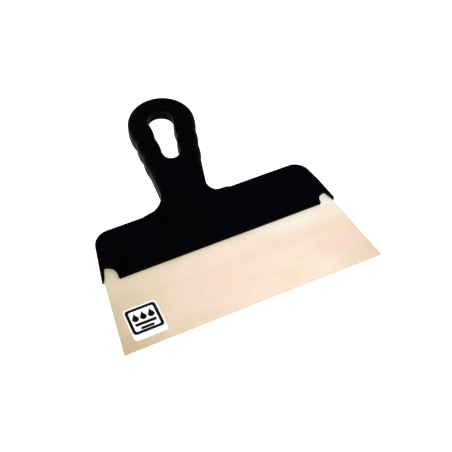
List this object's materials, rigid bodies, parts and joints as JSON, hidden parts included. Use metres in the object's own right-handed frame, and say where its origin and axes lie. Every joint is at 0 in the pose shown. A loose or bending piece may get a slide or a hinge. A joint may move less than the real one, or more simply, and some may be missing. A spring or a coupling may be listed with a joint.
{
  "type": "drywall taping knife",
  "caption": "Wide trapezoid stainless blade clamped in a black moulded holder with a leaning loop handle, for spreading joint compound.",
  "frame": {"origin": "middle of the footprint on the plane that the knife's back rests on", "axes": "+X along the working edge, +Y from the working edge to the handle, +Z out of the back through the front"},
  "size_m": [0.2498, 0.2582, 0.0185],
  "materials": {
    "blade_steel": "fine satin stainless sheet",
    "black_plastic": "black moulded plastic with a fine texture",
    "screw_steel": "blackened steel screws",
    "label_paper": "white printed label"
  },
  "bodies": {
    "root": {"blade": "blade_steel", "back_shell": "black_plastic", "front_shell": "black_plastic", "holder_screw_1": "screw_steel", "holder_screw_2": "screw_steel", "holder_screw_3": "screw_steel", "holder_screw_4": "screw_steel", "holder_screw_5": "screw_steel", "handle_screw_1": "screw_steel", "handle_screw_2": "screw_steel", "handle_screw_3": "screw_steel", "label": "label_paper"}
  },
  "joints": []
}
